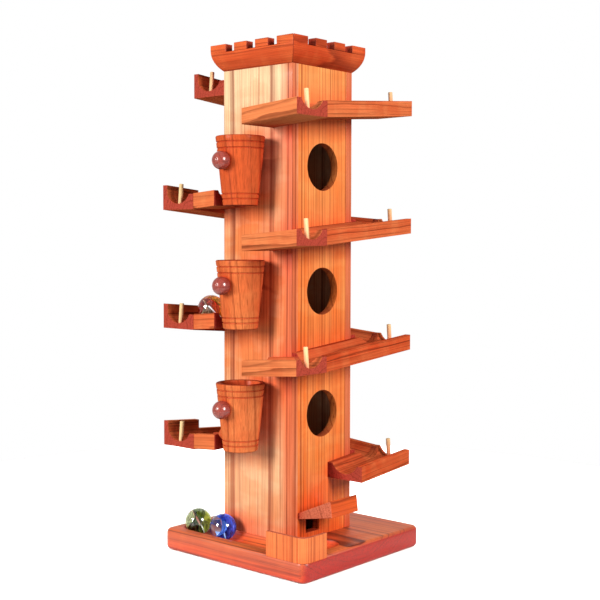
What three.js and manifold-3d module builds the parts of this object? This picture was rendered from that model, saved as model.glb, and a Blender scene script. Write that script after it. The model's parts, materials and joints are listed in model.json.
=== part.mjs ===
// A wooden marble run in the form of a square castle tower. Marbles roll round the tower
// on sloped, grooved tracks, drop through three tipping buckets and end in a groove in the
// base board. Units are millimetres. +Z is up, the buckets hang on the -Y side, the round
// windows are on the +X side, and the origin is on the underside of the base board, on the
// tower's axis.
import * as THREE from 'three';
import { mergeVertices } from 'three/addons/utils/BufferGeometryUtils.js';
import Module from 'manifold-3d';

const wasm = await Module();
wasm.setup();

// Base board, which reaches a little further back and right than forward and left.
const BASE_LEFT = -84.5;
const BASE_RIGHT = 90;
const BASE_FRONT = -80.7;
const BASE_BACK = 89;
const BASE_THICKNESS = 20;
const BASE_CORNER_RADIUS = 8;
const BASE_EDGE_ROUND = 4;
const BASE_EDGE_STEPS = 3;
const BASE_CORNER_STEPS = 5;

// Tower: full-width panels in front and behind, with the side panels between them.
const TOWER_WIDTH = 84;
const TOWER_HALF = TOWER_WIDTH / 2;
const PANEL_THICKNESS = 8;
const PANEL_TOP = 455.7;
const SIDE_PANEL_HALF = TOWER_HALF - PANEL_THICKNESS;
const WINDOW_RADIUS = 21.5;
const WINDOW_STEPS = 20;
const WINDOW_HEIGHTS = [357.2, 244.6, 132.5];
const FOOT_HOLE = { back: -3.5, front: -22.3, bottom: 25.5, top: 38.5 };

// Cap: four mitred mouldings with battlements round a flat roof board.
const CAP_BOTTOM = 446.1;
const CAP_TOP = 469.5;
const CAP_HALF = 51;
const CAP_CURVE_HEIGHT = 19;
const CAP_CURVE_STEPS = 8;
const NOTCH_DEPTH = 7;
const NOTCH_WIDTH = 10.4;
const NOTCH_PITCH = 26;
const MITRE_GAP = 0.15;
const CUTTER_OVERLAP = 1;
const ROOF_CLEARANCE = 0.3;

// Tracks: bars of one section with a round-bottomed groove.
const TRACK_WIDTH = 40;
const TRACK_HEIGHT = 14;
const GROOVE_RADIUS = 16;
const GROOVE_DEPTH = 8.7;
const GROOVE_STEPS = 10;
const CROSS_GROOVE_SIDES = 32;
const GUARD_RISE = 8.7;
const GUARD_ROOT = 2;
const TRACK_FLOOR = TRACK_HEIGHT - GROOVE_DEPTH;
const GROOVE_AXIS = TRACK_FLOOR + GROOVE_RADIUS;
const GROOVE_HALF_CHORD = Math.sqrt(GROOVE_RADIUS ** 2 - (GROOVE_RADIUS - GROOVE_DEPTH) ** 2);
const RING_OUTER = TOWER_HALF + TRACK_WIDTH;
const RING_MIDDLE = TOWER_HALF + TRACK_WIDTH / 2;

// Run of the marbles: levels from the top down, and the fall of each side per millimetre.
const LEVELS = [1, 2, 3, 4];
const LEVEL_PITCH = 109.5;
const TOP_RUN_HEIGHT = 428.3;
const RING_FALL = 0.086;
const DROP_FALL = 0.076;
const CATCH_FALL = 0.08;
const JOINT_STEP = 0.5;
const DROP_END = -18.6;
const CATCH_START = 15.3;
const LAST_TRACK_END = -8.5;

// Dowel pegs at the open track ends.
const PEG_RADIUS = 2;
const PEG_RISE = 18.5;
const PEG_INSET = 5.5;
const LEFT_PEG_INSET = 3;
const PEG_SINK = 3.7;
const GLUE_GAP = 0.3;
const PEG_SIDES = 12;

// Tipping buckets on fixed axles, each kept on by a ball knob.
const BUCKET_X = 1.8;
const BUCKET_Y = -66;
const BUCKET_PIVOT_HEIGHT = 360.5;
const BUCKET_RIM = 22.3;
const BUCKET_BOTTOM = -39;
const BUCKET_TOP_RADIUS = 22;
const BUCKET_BOTTOM_RADIUS = 15.5;
const CUP_RADIUS = 17;
const CUP_FLOOR_RADIUS = 12.5;
const CUP_DEPTH = 15;
const CUP_FOOT = { width: 2.5, rise: 3 };
const HOOP_LINES = [16.6, 11.1, -28.8, -33.2];
const HOOP_LINE_HALF_WIDTH = 0.6;
const HOOP_LINE_DEPTH = 0.7;
const BUCKET_SIDES = 28;
const AXLE_RADIUS = 3;
const AXLE_BACK_Y = -34.5;
const BORE_RADIUS = 3.3;
const BORE_CUTTER_LENGTH = 60;
const AXLE_SIDES = 16;
const KNOB_RADIUS = 8.2;
const KNOB_FLAT_OFFSET = 3.6;
const KNOB_BACK_Y = -86.5;
const KNOB_SOCKET_DEPTH = 5;
const KNOB_STEPS = 7;
const KNOB_SIDES = 20;

// Groove and corner fence on the base, and the wedge that turns marbles towards them.
const BASE_GROOVE_DEPTH = 7.6;
const BASE_GROOVE_Y = -56.8;
const BASE_GROOVE_X = 64;
const BASE_GROOVE_LEFT_END = -62;
const BASE_GROOVE_BACK_END = -22;
const FENCE_INSET = 0.4;
const FENCE_RIGHT = BASE_RIGHT - FENCE_INSET;
const FENCE_FRONT = BASE_FRONT + FENCE_INSET;
const FENCE_FOOT = 17.5;
const FENCE_TOP = 39.5;
const FENCE_THICKNESS = 3.5;
const FENCE_LEFT = 46;
const FENCE_BACK = -49.7;
const FENCE_OUTER_RADIUS = BASE_CORNER_RADIUS - FENCE_INSET;
const FENCE_INNER_RADIUS = 8;
const FENCE_CURVE_STEPS = 8;
const FENCE_INNER_X = FENCE_RIGHT - FENCE_THICKNESS;
const FENCE_INNER_Y = FENCE_FRONT + FENCE_THICKNESS;
const REBATE_GAP = 0.3;
const REBATE_OVERRUN = 2;
const WEDGE_BACK = 3.7;
const WEDGE_FRONT = -33.6;
const WEDGE_INNER = { bottom: 40.1, top: 45.7 };
const WEDGE_OUTER = { bottom: 47.6, top: 62.5 };
const WEDGE_LEAN = 2;

// Marbles: two in the base groove and one on the third level's catch track.
const MARBLE_RADIUS = 12.5;
const MARBLE_GAP = 0.3;
const MARBLE_SEGMENTS = [20, 12];
const GREEN_MARBLE_X = -62;
const BLUE_MARBLE_X = -29.5;
const RED_MARBLE_X = -39;

const SOLID_COLOURS = {
  tower: 0xe08a4a,
  trim: 0xb9532b,
  base: 0xb5522f,
  bucket: 0xc2602f,
  knob: 0x8a3a2c,
  peg: 0xe9cf9c,
};
const GLASS_COLOURS = { green: 0x9fb84a, blue: 0x2f62d8, red: 0xd1522a };
const MERGE_TOLERANCE = 1e-4;

const SIDE_ANGLES = { back: 0, right: -Math.PI / 2, front: Math.PI, left: Math.PI / 2 };
const X_AXIS = new THREE.Vector3(1, 0, 0);
const Y_AXIS = new THREE.Vector3(0, 1, 0);
const Z_AXIS = new THREE.Vector3(0, 0, 1);

const marbleRun = new THREE.Group();
const sides = {};
for (const [name, angle] of Object.entries(SIDE_ANGLES)) {
  sides[name] = new THREE.Group();
  sides[name].rotation.z = angle;
  marbleRun.add(sides[name]);
}

function wood(name) {
  return new THREE.MeshStandardMaterial({
    color: SOLID_COLOURS[name],
    roughness: 0.45,
    metalness: 0,
    flatShading: true,
  });
}

function glass(name) {
  return new THREE.MeshStandardMaterial({ color: GLASS_COLOURS[name], roughness: 0.05, metalness: 0 });
}

function addPiece(parent, name, geometry, material) {
  const mesh = new THREE.Mesh(geometry, material);
  mesh.name = name;
  parent.add(mesh);
  return mesh;
}

// A closed geometry as a solid that can be cut and joined.
function solidOf(geometry) {
  const bare = geometry.clone();
  bare.deleteAttribute('normal');
  bare.deleteAttribute('uv');
  const merged = mergeVertices(bare, MERGE_TOLERANCE);
  const corners = merged.index.array;
  const triangles = [];
  for (let i = 0; i < corners.length; i += 3) {
    const [a, b, c] = corners.slice(i, i + 3);
    if (a !== b && b !== c && c !== a) triangles.push(a, b, c);
  }
  return new wasm.Manifold(new wasm.Mesh({
    numProp: 3,
    vertProperties: new Float32Array(merged.attributes.position.array),
    triVerts: new Uint32Array(triangles),
  }));
}

function geometryOf(solid) {
  const mesh = solid.getMesh();
  const geometry = new THREE.BufferGeometry();
  geometry.setAttribute('position', new THREE.BufferAttribute(mesh.vertProperties, 3));
  geometry.setIndex(new THREE.BufferAttribute(mesh.triVerts, 1));
  geometry.computeVertexNormals();
  return geometry;
}

function cut(solid, cutters) {
  return cutters.reduce((left, cutter) => left.subtract(cutter), solid);
}

function boxBetween(low, high) {
  const box = new THREE.BoxGeometry(high[0] - low[0], high[1] - low[1], high[2] - low[2]);
  box.translate((low[0] + high[0]) / 2, (low[1] + high[1]) / 2, (low[2] + high[2]) / 2);
  return box;
}

// A section drawn in the YZ plane, extruded along +X from x = start.
function extrudeAlongX(section, start, length, curveSegments) {
  const bar = new THREE.ExtrudeGeometry(section, { depth: length, bevelEnabled: false, curveSegments });
  bar.applyMatrix4(new THREE.Matrix4().makeBasis(Y_AXIS, Z_AXIS, X_AXIS));
  bar.translate(start, 0, 0);
  return bar;
}

function outline(points) {
  return new THREE.Shape(points.map(([x, y]) => new THREE.Vector2(x, y)));
}

// --- Base board, fence and wedge ---

function roundedRectangle(left, front, right, back, radius) {
  const shape = new THREE.Shape();
  shape.absarc(right - radius, front + radius, radius, -Math.PI / 2, 0, false);
  shape.absarc(right - radius, back - radius, radius, 0, Math.PI / 2, false);
  shape.absarc(left + radius, back - radius, radius, Math.PI / 2, Math.PI, false);
  shape.absarc(left + radius, front + radius, radius, Math.PI, 1.5 * Math.PI, false);
  return shape;
}

function addBaseBoard() {
  const board = new THREE.ExtrudeGeometry(
    roundedRectangle(BASE_LEFT, BASE_FRONT, BASE_RIGHT, BASE_BACK, BASE_CORNER_RADIUS),
    {
      depth: BASE_THICKNESS - 2 * BASE_EDGE_ROUND,
      bevelThickness: BASE_EDGE_ROUND,
      bevelSize: BASE_EDGE_ROUND,
      bevelOffset: -BASE_EDGE_ROUND,
      bevelSegments: BASE_EDGE_STEPS,
      curveSegments: BASE_CORNER_STEPS,
    },
  );
  board.translate(0, 0, BASE_EDGE_ROUND);
  const axisHeight = BASE_THICKNESS - BASE_GROOVE_DEPTH + GROOVE_RADIUS;
  const frontLength = BASE_GROOVE_X - BASE_GROOVE_LEFT_END;
  const frontGroove = new THREE.CylinderGeometry(
    GROOVE_RADIUS, GROOVE_RADIUS, frontLength, CROSS_GROOVE_SIDES,
  );
  frontGroove.rotateZ(Math.PI / 2);
  frontGroove.translate(BASE_GROOVE_X - frontLength / 2, BASE_GROOVE_Y, axisHeight);
  const sideLength = BASE_GROOVE_BACK_END - BASE_GROOVE_Y;
  const sideGroove = new THREE.CylinderGeometry(
    GROOVE_RADIUS, GROOVE_RADIUS, sideLength, CROSS_GROOVE_SIDES,
  );
  sideGroove.translate(BASE_GROOVE_X, BASE_GROOVE_Y + sideLength / 2, axisHeight);
  const turns = [
    [BASE_GROOVE_LEFT_END, BASE_GROOVE_Y],
    [BASE_GROOVE_X, BASE_GROOVE_Y],
    [BASE_GROOVE_X, BASE_GROOVE_BACK_END],
  ].map(([x, y]) => {
    const ball = new THREE.SphereGeometry(GROOVE_RADIUS, CROSS_GROOVE_SIDES, CROSS_GROOVE_SIDES / 2);
    ball.rotateX(Math.PI / 2);
    ball.translate(x, y, axisHeight);
    return solidOf(ball);
  });
  const cutters = [solidOf(frontGroove), solidOf(sideGroove), ...turns, solidOf(fenceRebate())];
  const solid = cut(solidOf(board), cutters);
  addPiece(marbleRun, 'base_board', geometryOf(solid), wood('base'));
}

// The step cut in the base's edge that the fence stands in, open towards the outside.
function fenceRebate() {
  const innerX = FENCE_INNER_X - REBATE_GAP;
  const innerY = FENCE_INNER_Y + REBATE_GAP;
  const right = BASE_RIGHT + REBATE_OVERRUN;
  const front = BASE_FRONT - REBATE_OVERRUN;
  const plan = new THREE.Shape();
  plan.moveTo(FENCE_LEFT - REBATE_GAP, front);
  plan.lineTo(right, front);
  plan.lineTo(right, FENCE_BACK + REBATE_GAP);
  plan.lineTo(innerX, FENCE_BACK + REBATE_GAP);
  plan.absarc(innerX - FENCE_INNER_RADIUS, innerY + FENCE_INNER_RADIUS, FENCE_INNER_RADIUS,
    0, -Math.PI / 2, true);
  plan.lineTo(FENCE_LEFT - REBATE_GAP, innerY);
  const rebate = new THREE.ExtrudeGeometry(plan, {
    depth: BASE_THICKNESS + REBATE_OVERRUN - FENCE_FOOT,
    bevelEnabled: false,
    curveSegments: FENCE_CURVE_STEPS,
  });
  rebate.translate(0, 0, FENCE_FOOT);
  return rebate;
}

// Two thin boards, flush with the base's sides. They meet where the outer corner's round
// starts, and the hollow inner corner turns the marbles.
function addFence() {
  const jointX = FENCE_RIGHT - FENCE_OUTER_RADIUS;
  const curveX = FENCE_INNER_X - FENCE_INNER_RADIUS;
  const curveY = FENCE_INNER_Y + FENCE_INNER_RADIUS;
  const jointAngle = -Math.acos((jointX - curveX) / FENCE_INNER_RADIUS);
  const front = new THREE.Shape();
  front.moveTo(FENCE_LEFT, FENCE_FRONT);
  front.lineTo(jointX, FENCE_FRONT);
  front.absarc(curveX, curveY, FENCE_INNER_RADIUS, jointAngle, -Math.PI / 2, true);
  front.lineTo(FENCE_LEFT, FENCE_INNER_Y);
  const side = new THREE.Shape();
  side.absarc(jointX, FENCE_FRONT + FENCE_OUTER_RADIUS, FENCE_OUTER_RADIUS, -Math.PI / 2, 0, false);
  side.lineTo(FENCE_RIGHT, FENCE_BACK);
  side.lineTo(FENCE_INNER_X, FENCE_BACK);
  side.absarc(curveX, curveY, FENCE_INNER_RADIUS, 0, jointAngle, true);
  const rise = {
    depth: FENCE_TOP - FENCE_FOOT,
    bevelEnabled: false,
    curveSegments: FENCE_CURVE_STEPS,
  };
  for (const [name, shape] of [['fence_front', front], ['fence_side', side]]) {
    const fence = new THREE.ExtrudeGeometry(shape, rise);
    fence.translate(0, 0, FENCE_FOOT);
    addPiece(marbleRun, name, fence, wood('tower'));
  }
}

function addLandingWedge() {
  const section = outline([
    [TOWER_HALF, WEDGE_INNER.bottom],
    [RING_OUTER, WEDGE_OUTER.bottom],
    [RING_OUTER - WEDGE_LEAN, WEDGE_OUTER.top],
    [TOWER_HALF, WEDGE_INNER.top],
  ]);
  const wedge = new THREE.ExtrudeGeometry(section, { depth: WEDGE_BACK - WEDGE_FRONT, bevelEnabled: false });
  wedge.applyMatrix4(new THREE.Matrix4().makeBasis(X_AXIS, Z_AXIS, Y_AXIS.clone().negate()));
  wedge.translate(0, WEDGE_BACK, 0);
  addPiece(marbleRun, 'landing_wedge', wedge, wood('trim'));
}

// --- Tower ---

function bucketHeight(index) {
  return BUCKET_PIVOT_HEIGHT - index * LEVEL_PITCH;
}

function addPanels() {
  const widePanel = (y) => boxBetween(
    [-TOWER_HALF, y, BASE_THICKNESS],
    [TOWER_HALF, y + PANEL_THICKNESS, PANEL_TOP],
  );
  const sockets = WINDOW_HEIGHTS.map((_, index) => {
    const socket = new THREE.CylinderGeometry(
      BORE_RADIUS, BORE_RADIUS, BORE_CUTTER_LENGTH, AXLE_SIDES,
    );
    socket.translate(BUCKET_X, -TOWER_HALF, bucketHeight(index));
    return solidOf(socket);
  });
  const front = cut(solidOf(widePanel(-TOWER_HALF)), sockets);
  addPiece(marbleRun, 'panel_front', geometryOf(front), wood('tower'));
  addPiece(marbleRun, 'panel_back', widePanel(SIDE_PANEL_HALF), wood('tower'));
  const left = boxBetween(
    [-TOWER_HALF, -SIDE_PANEL_HALF, BASE_THICKNESS],
    [-SIDE_PANEL_HALF, SIDE_PANEL_HALF, PANEL_TOP],
  );
  addPiece(marbleRun, 'panel_left', left, wood('tower'));
  const right = outline([
    [-SIDE_PANEL_HALF, BASE_THICKNESS],
    [SIDE_PANEL_HALF, BASE_THICKNESS],
    [SIDE_PANEL_HALF, PANEL_TOP],
    [-SIDE_PANEL_HALF, PANEL_TOP],
  ]);
  for (const height of WINDOW_HEIGHTS) {
    right.holes.push(new THREE.Path().absarc(0, height, WINDOW_RADIUS, 0, 2 * Math.PI, true));
  }
  right.holes.push(new THREE.Path([
    new THREE.Vector2(FOOT_HOLE.front, FOOT_HOLE.bottom),
    new THREE.Vector2(FOOT_HOLE.front, FOOT_HOLE.top),
    new THREE.Vector2(FOOT_HOLE.back, FOOT_HOLE.top),
    new THREE.Vector2(FOOT_HOLE.back, FOOT_HOLE.bottom),
  ]));
  const windows = extrudeAlongX(right, SIDE_PANEL_HALF, PANEL_THICKNESS, WINDOW_STEPS);
  addPiece(marbleRun, 'panel_right', windows, wood('tower'));
}

// The moulding swells out from the tower in an arc that ends upright, then rises straight.
function capSection() {
  const reach = CAP_HALF - TOWER_HALF;
  const radius = (CAP_CURVE_HEIGHT ** 2 + reach ** 2) / (2 * reach);
  const sweep = Math.asin(CAP_CURVE_HEIGHT / radius);
  const points = [];
  for (let step = CAP_CURVE_STEPS; step >= 0; step -= 1) {
    const angle = (step / CAP_CURVE_STEPS) * sweep;
    points.push([
      CAP_HALF - radius * (1 - Math.cos(angle)),
      CAP_BOTTOM + CAP_CURVE_HEIGHT - radius * Math.sin(angle),
    ]);
  }
  points.push([CAP_HALF, CAP_TOP], [TOWER_HALF, CAP_TOP]);
  return outline(points);
}

function addCap() {
  const bar = solidOf(extrudeAlongX(capSection(), -CAP_HALF, 2 * CAP_HALF));
  const mitre = new THREE.ExtrudeGeometry(outline([
    [-TOWER_HALF + MITRE_GAP, TOWER_HALF],
    [TOWER_HALF - MITRE_GAP, TOWER_HALF],
    [CAP_HALF - MITRE_GAP, CAP_HALF],
    [-CAP_HALF + MITRE_GAP, CAP_HALF],
  ]), { depth: CAP_TOP - CAP_BOTTOM, bevelEnabled: false });
  mitre.translate(0, 0, CAP_BOTTOM);
  const notches = [-NOTCH_PITCH, 0, NOTCH_PITCH].map((x) => solidOf(boxBetween(
    [x - NOTCH_WIDTH / 2, TOWER_HALF - CUTTER_OVERLAP, CAP_TOP - NOTCH_DEPTH],
    [x + NOTCH_WIDTH / 2, CAP_HALF + CUTTER_OVERLAP, CAP_TOP + CUTTER_OVERLAP],
  )));
  const moulding = cut(bar.intersect(solidOf(mitre)), notches);
  for (const [name, side] of Object.entries(sides)) {
    addPiece(side, `cap_${name}`, geometryOf(moulding), wood('trim'));
  }
  const roofHalf = TOWER_HALF - ROOF_CLEARANCE;
  const roof = boxBetween(
    [-roofHalf, -roofHalf, PANEL_TOP],
    [roofHalf, roofHalf, CAP_TOP - NOTCH_DEPTH],
  );
  addPiece(marbleRun, 'roof_board', roof, wood('trim'));
}

// --- Tracks ---

// Each side is drawn in its own frame: +x is the way the marbles roll, +y is outward, and
// "from" and "to" are places along x. "start" is the height of the bar's underside at
// "from", and "inlet" that of the bar that delivers marbles to it, at the joint.
function levelRuns(level) {
  const fullLength = TOWER_HALF + RING_OUTER;
  const leftStart = TOP_RUN_HEIGHT - (level - 1) * LEVEL_PITCH;
  const backStart = leftStart - RING_FALL * fullLength;
  const rightStart = backStart - RING_FALL * fullLength;
  const rightEnd = rightStart - RING_FALL * fullLength;
  const catchEnd = leftStart + JOINT_STEP;
  const first = level === LEVELS[0];
  const last = level === LEVELS[LEVELS.length - 1];
  const runs = [
    {
      part: 'left', side: 'left', fall: RING_FALL, guarded: true, pegInset: LEFT_PEG_INSET,
      inlet: first ? null : catchEnd,
      from: first ? -TOWER_HALF : -RING_OUTER, to: TOWER_HALF,
      start: first ? leftStart - RING_FALL * TRACK_WIDTH : leftStart,
    },
    {
      part: 'back', side: 'back', fall: RING_FALL, inlet: backStart,
      from: -RING_OUTER, to: TOWER_HALF, start: backStart,
    },
    {
      part: 'right', side: 'right', fall: RING_FALL, inlet: rightStart,
      from: -RING_OUTER, to: last ? LAST_TRACK_END : TOWER_HALF, start: rightStart,
    },
  ];
  if (!last) {
    runs.push({
      part: 'drop', side: 'front', fall: DROP_FALL, inlet: rightEnd,
      from: -RING_OUTER, to: DROP_END, start: rightEnd - JOINT_STEP,
    });
  }
  if (!first) {
    runs.push({
      part: 'catch', side: 'front', fall: CATCH_FALL, inlet: null, pegless: true,
      from: CATCH_START, to: TOWER_HALF,
      start: catchEnd + CATCH_FALL * (TOWER_HALF - CATCH_START),
    });
  }
  return runs;
}

function trackSection() {
  const section = new THREE.Shape();
  section.moveTo(TOWER_HALF, 0);
  section.lineTo(RING_OUTER, 0);
  section.lineTo(RING_OUTER, TRACK_HEIGHT);
  section.lineTo(RING_MIDDLE + GROOVE_HALF_CHORD, TRACK_HEIGHT);
  const edgeAngle = Math.atan2(TRACK_HEIGHT - GROOVE_AXIS, GROOVE_HALF_CHORD);
  section.absarc(RING_MIDDLE, GROOVE_AXIS, GROOVE_RADIUS, edgeAngle, -Math.PI - edgeAngle, true);
  section.lineTo(TOWER_HALF, TRACK_HEIGHT);
  return section;
}

// The bar is sheared, not turned, so its ends stay upright and meet their neighbours flat.
function slopedBar(run) {
  const shear = new THREE.Matrix4().set(
    1, 0, 0, 0,
    0, 1, 0, 0,
    -run.fall, 0, 1, run.start + run.fall * run.from,
    0, 0, 0, 1,
  );
  const bar = extrudeAlongX(trackSection(), run.from, run.to - run.from, GROOVE_STEPS);
  bar.applyMatrix4(shear);
  if (!run.guarded) return solidOf(bar);
  const guard = boxBetween(
    [run.from, RING_MIDDLE + GROOVE_HALF_CHORD, TRACK_HEIGHT - GUARD_ROOT],
    [run.from + TRACK_WIDTH, RING_OUTER, TRACK_HEIGHT + GUARD_RISE],
  );
  guard.applyMatrix4(shear);
  return solidOf(bar).add(solidOf(guard));
}

// Where a bar receives marbles, the groove of the delivering bar runs on through its wall.
function crossGroove(run) {
  const length = TRACK_WIDTH / 2 + CUTTER_OVERLAP;
  const groove = new THREE.CylinderGeometry(GROOVE_RADIUS, GROOVE_RADIUS, length, CROSS_GROOVE_SIDES);
  groove.translate(run.from + TRACK_WIDTH / 2, RING_MIDDLE - length / 2, run.inlet + GROOVE_AXIS);
  return solidOf(groove);
}

function uprightCylinder(radius, bottom, top) {
  const cylinder = new THREE.CylinderGeometry(radius, radius, top - bottom, PEG_SIDES);
  cylinder.rotateX(Math.PI / 2);
  cylinder.translate(0, 0, (top + bottom) / 2);
  return cylinder;
}

function pegFoot(run) {
  const inset = run.pegInset ?? PEG_INSET;
  const foot = new THREE.Group();
  foot.position.set(run.from + inset, RING_MIDDLE, run.start - run.fall * inset + TRACK_FLOOR);
  foot.rotation.y = Math.atan(run.fall);
  return foot;
}

function addRun(level, run) {
  const cutters = run.inlet === null ? [] : [crossGroove(run)];
  if (!run.pegless) {
    const foot = pegFoot(run);
    const peg = uprightCylinder(PEG_RADIUS, -PEG_SINK, PEG_RISE);
    addPiece(foot, `peg_${level}_${run.part}`, peg, wood('peg'));
    sides[run.side].add(foot);
    const hole = uprightCylinder(PEG_RADIUS + GLUE_GAP, -PEG_SINK - GLUE_GAP, PEG_RISE);
    foot.updateMatrix();
    hole.applyMatrix4(foot.matrix);
    cutters.push(solidOf(hole));
  }
  const track = geometryOf(cut(slopedBar(run), cutters));
  addPiece(sides[run.side], `track_${level}_${run.part}`, track, wood('trim'));
}

// --- Buckets ---

// One side of the bucket's outline, from its foot to its rim, with a V line at each hoop.
function bucketProfile() {
  const height = BUCKET_RIM - BUCKET_BOTTOM;
  const wallRadius = (z) => BUCKET_BOTTOM_RADIUS
    + ((BUCKET_TOP_RADIUS - BUCKET_BOTTOM_RADIUS) * (z - BUCKET_BOTTOM)) / height;
  const points = [[0, BUCKET_BOTTOM], [BUCKET_BOTTOM_RADIUS, BUCKET_BOTTOM]];
  for (const line of [...HOOP_LINES].reverse()) {
    const low = line - HOOP_LINE_HALF_WIDTH;
    const high = line + HOOP_LINE_HALF_WIDTH;
    points.push([wallRadius(low), low]);
    points.push([wallRadius(line) - HOOP_LINE_DEPTH, line]);
    points.push([wallRadius(high), high]);
  }
  points.push([BUCKET_TOP_RADIUS, BUCKET_RIM], [CUP_RADIUS, BUCKET_RIM]);
  points.push([CUP_FLOOR_RADIUS + CUP_FOOT.width, BUCKET_RIM - CUP_DEPTH + CUP_FOOT.rise]);
  points.push([CUP_FLOOR_RADIUS, BUCKET_RIM - CUP_DEPTH], [0, BUCKET_RIM - CUP_DEPTH]);
  return points.map(([radius, z]) => new THREE.Vector2(radius, z));
}

function knobProfile() {
  const flatRadius = Math.sqrt(KNOB_RADIUS ** 2 - KNOB_FLAT_OFFSET ** 2);
  const points = [[0, KNOB_SOCKET_DEPTH], [BORE_RADIUS, KNOB_SOCKET_DEPTH], [BORE_RADIUS, 0]];
  const startAngle = Math.atan2(-KNOB_FLAT_OFFSET, flatRadius);
  for (let step = 0; step <= KNOB_STEPS; step += 1) {
    const angle = startAngle + ((Math.PI / 2 - startAngle) * step) / KNOB_STEPS;
    const radius = step === KNOB_STEPS ? 0 : KNOB_RADIUS * Math.cos(angle);
    points.push([radius, KNOB_FLAT_OFFSET + KNOB_RADIUS * Math.sin(angle)]);
  }
  return points.map(([radius, reach]) => new THREE.Vector2(radius, reach));
}

function addBucket(index) {
  const pivot = new THREE.Group();
  pivot.position.set(BUCKET_X, 0, bucketHeight(index));
  marbleRun.add(pivot);
  const number = index + 1;

  const body = new THREE.LatheGeometry(bucketProfile(), BUCKET_SIDES);
  body.rotateX(Math.PI / 2);
  body.translate(0, BUCKET_Y, 0);
  const bore = new THREE.CylinderGeometry(BORE_RADIUS, BORE_RADIUS, BORE_CUTTER_LENGTH, AXLE_SIDES);
  bore.translate(0, BUCKET_Y, 0);
  addPiece(pivot, `bucket_${number}`, geometryOf(cut(solidOf(body), [solidOf(bore)])), wood('bucket'));

  const axleFront = KNOB_BACK_Y - KNOB_SOCKET_DEPTH + GLUE_GAP;
  const axle = new THREE.CylinderGeometry(AXLE_RADIUS, AXLE_RADIUS, AXLE_BACK_Y - axleFront, AXLE_SIDES);
  axle.translate(0, (AXLE_BACK_Y + axleFront) / 2, 0);
  addPiece(pivot, `axle_${number}`, axle, wood('peg'));

  const knob = new THREE.LatheGeometry(knobProfile(), KNOB_SIDES);
  knob.rotateX(Math.PI);
  knob.translate(0, KNOB_BACK_Y, 0);
  addPiece(pivot, `knob_${number}`, geometryOf(solidOf(knob)), wood('knob'));
}

// --- Marbles ---

function addMarble(name, x, y, restHeight) {
  const ball = new THREE.SphereGeometry(MARBLE_RADIUS, ...MARBLE_SEGMENTS);
  ball.rotateX(Math.PI / 2);
  const marble = addPiece(marbleRun, `marble_${name}`, ball, glass(name));
  marble.position.set(x, y, restHeight + MARBLE_RADIUS + MARBLE_GAP);
}

function addMarbles() {
  const baseGrooveFloor = BASE_THICKNESS - BASE_GROOVE_DEPTH;
  addMarble('green', GREEN_MARBLE_X, BASE_GROOVE_Y, baseGrooveFloor);
  addMarble('blue', BLUE_MARBLE_X, BASE_GROOVE_Y, baseGrooveFloor);
  const catchTrack = levelRuns(3).find((run) => run.part === 'catch');
  const fallen = CATCH_FALL * (-RED_MARBLE_X - catchTrack.from);
  addMarble('red', RED_MARBLE_X, -RING_MIDDLE, catchTrack.start - fallen + TRACK_FLOOR);
}

addBaseBoard();
addFence();
addLandingWedge();
addPanels();
addCap();
for (const level of LEVELS) {
  for (const run of levelRuns(level)) addRun(level, run);
}
WINDOW_HEIGHTS.forEach((_, index) => addBucket(index));
addMarbles();

export default marbleRun;
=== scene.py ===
"""Looks of a wooden marble run: a square castle tower with grooved tracks, tipping buckets,
glass marbles and a grooved base. Lengths are metres unless a name says millimetres."""
import json
import math
import random

import bmesh
import bpy
from mathutils import Matrix, Vector


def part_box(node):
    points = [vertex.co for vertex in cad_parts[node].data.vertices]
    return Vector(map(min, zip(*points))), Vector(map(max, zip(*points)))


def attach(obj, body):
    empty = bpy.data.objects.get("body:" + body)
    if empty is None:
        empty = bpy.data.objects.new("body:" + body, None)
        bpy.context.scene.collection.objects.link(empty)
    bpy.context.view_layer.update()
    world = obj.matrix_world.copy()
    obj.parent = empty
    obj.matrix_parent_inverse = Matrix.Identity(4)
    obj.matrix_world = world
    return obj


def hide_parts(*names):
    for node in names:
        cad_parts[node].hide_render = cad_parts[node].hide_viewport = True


MM = 0.001
SHARP_ANGLE = math.radians(38)
FLAT_ANGLE = math.radians(0.6)
WELD_DISTANCE = 2e-6
EASE_SEGMENTS = 3
ON_AXIS = 1e-7
LEAST_HEIGHT = 1e-6

# Every side's tracks fall along this direction, by about this much per metre.
RUN_DIRECTIONS = {"back": (1, 0), "right": (0, -1), "front": (-1, 0), "left": (0, 1)}
TRACK_FALL = 0.083
UPRIGHT = (0, 0, 1)
ALONG_X = (1, 0, 0)
ALONG_Y = (0, 1, 0)
ONTO_Y = Matrix.Rotation(math.pi / 2, 4, "X")

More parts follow.
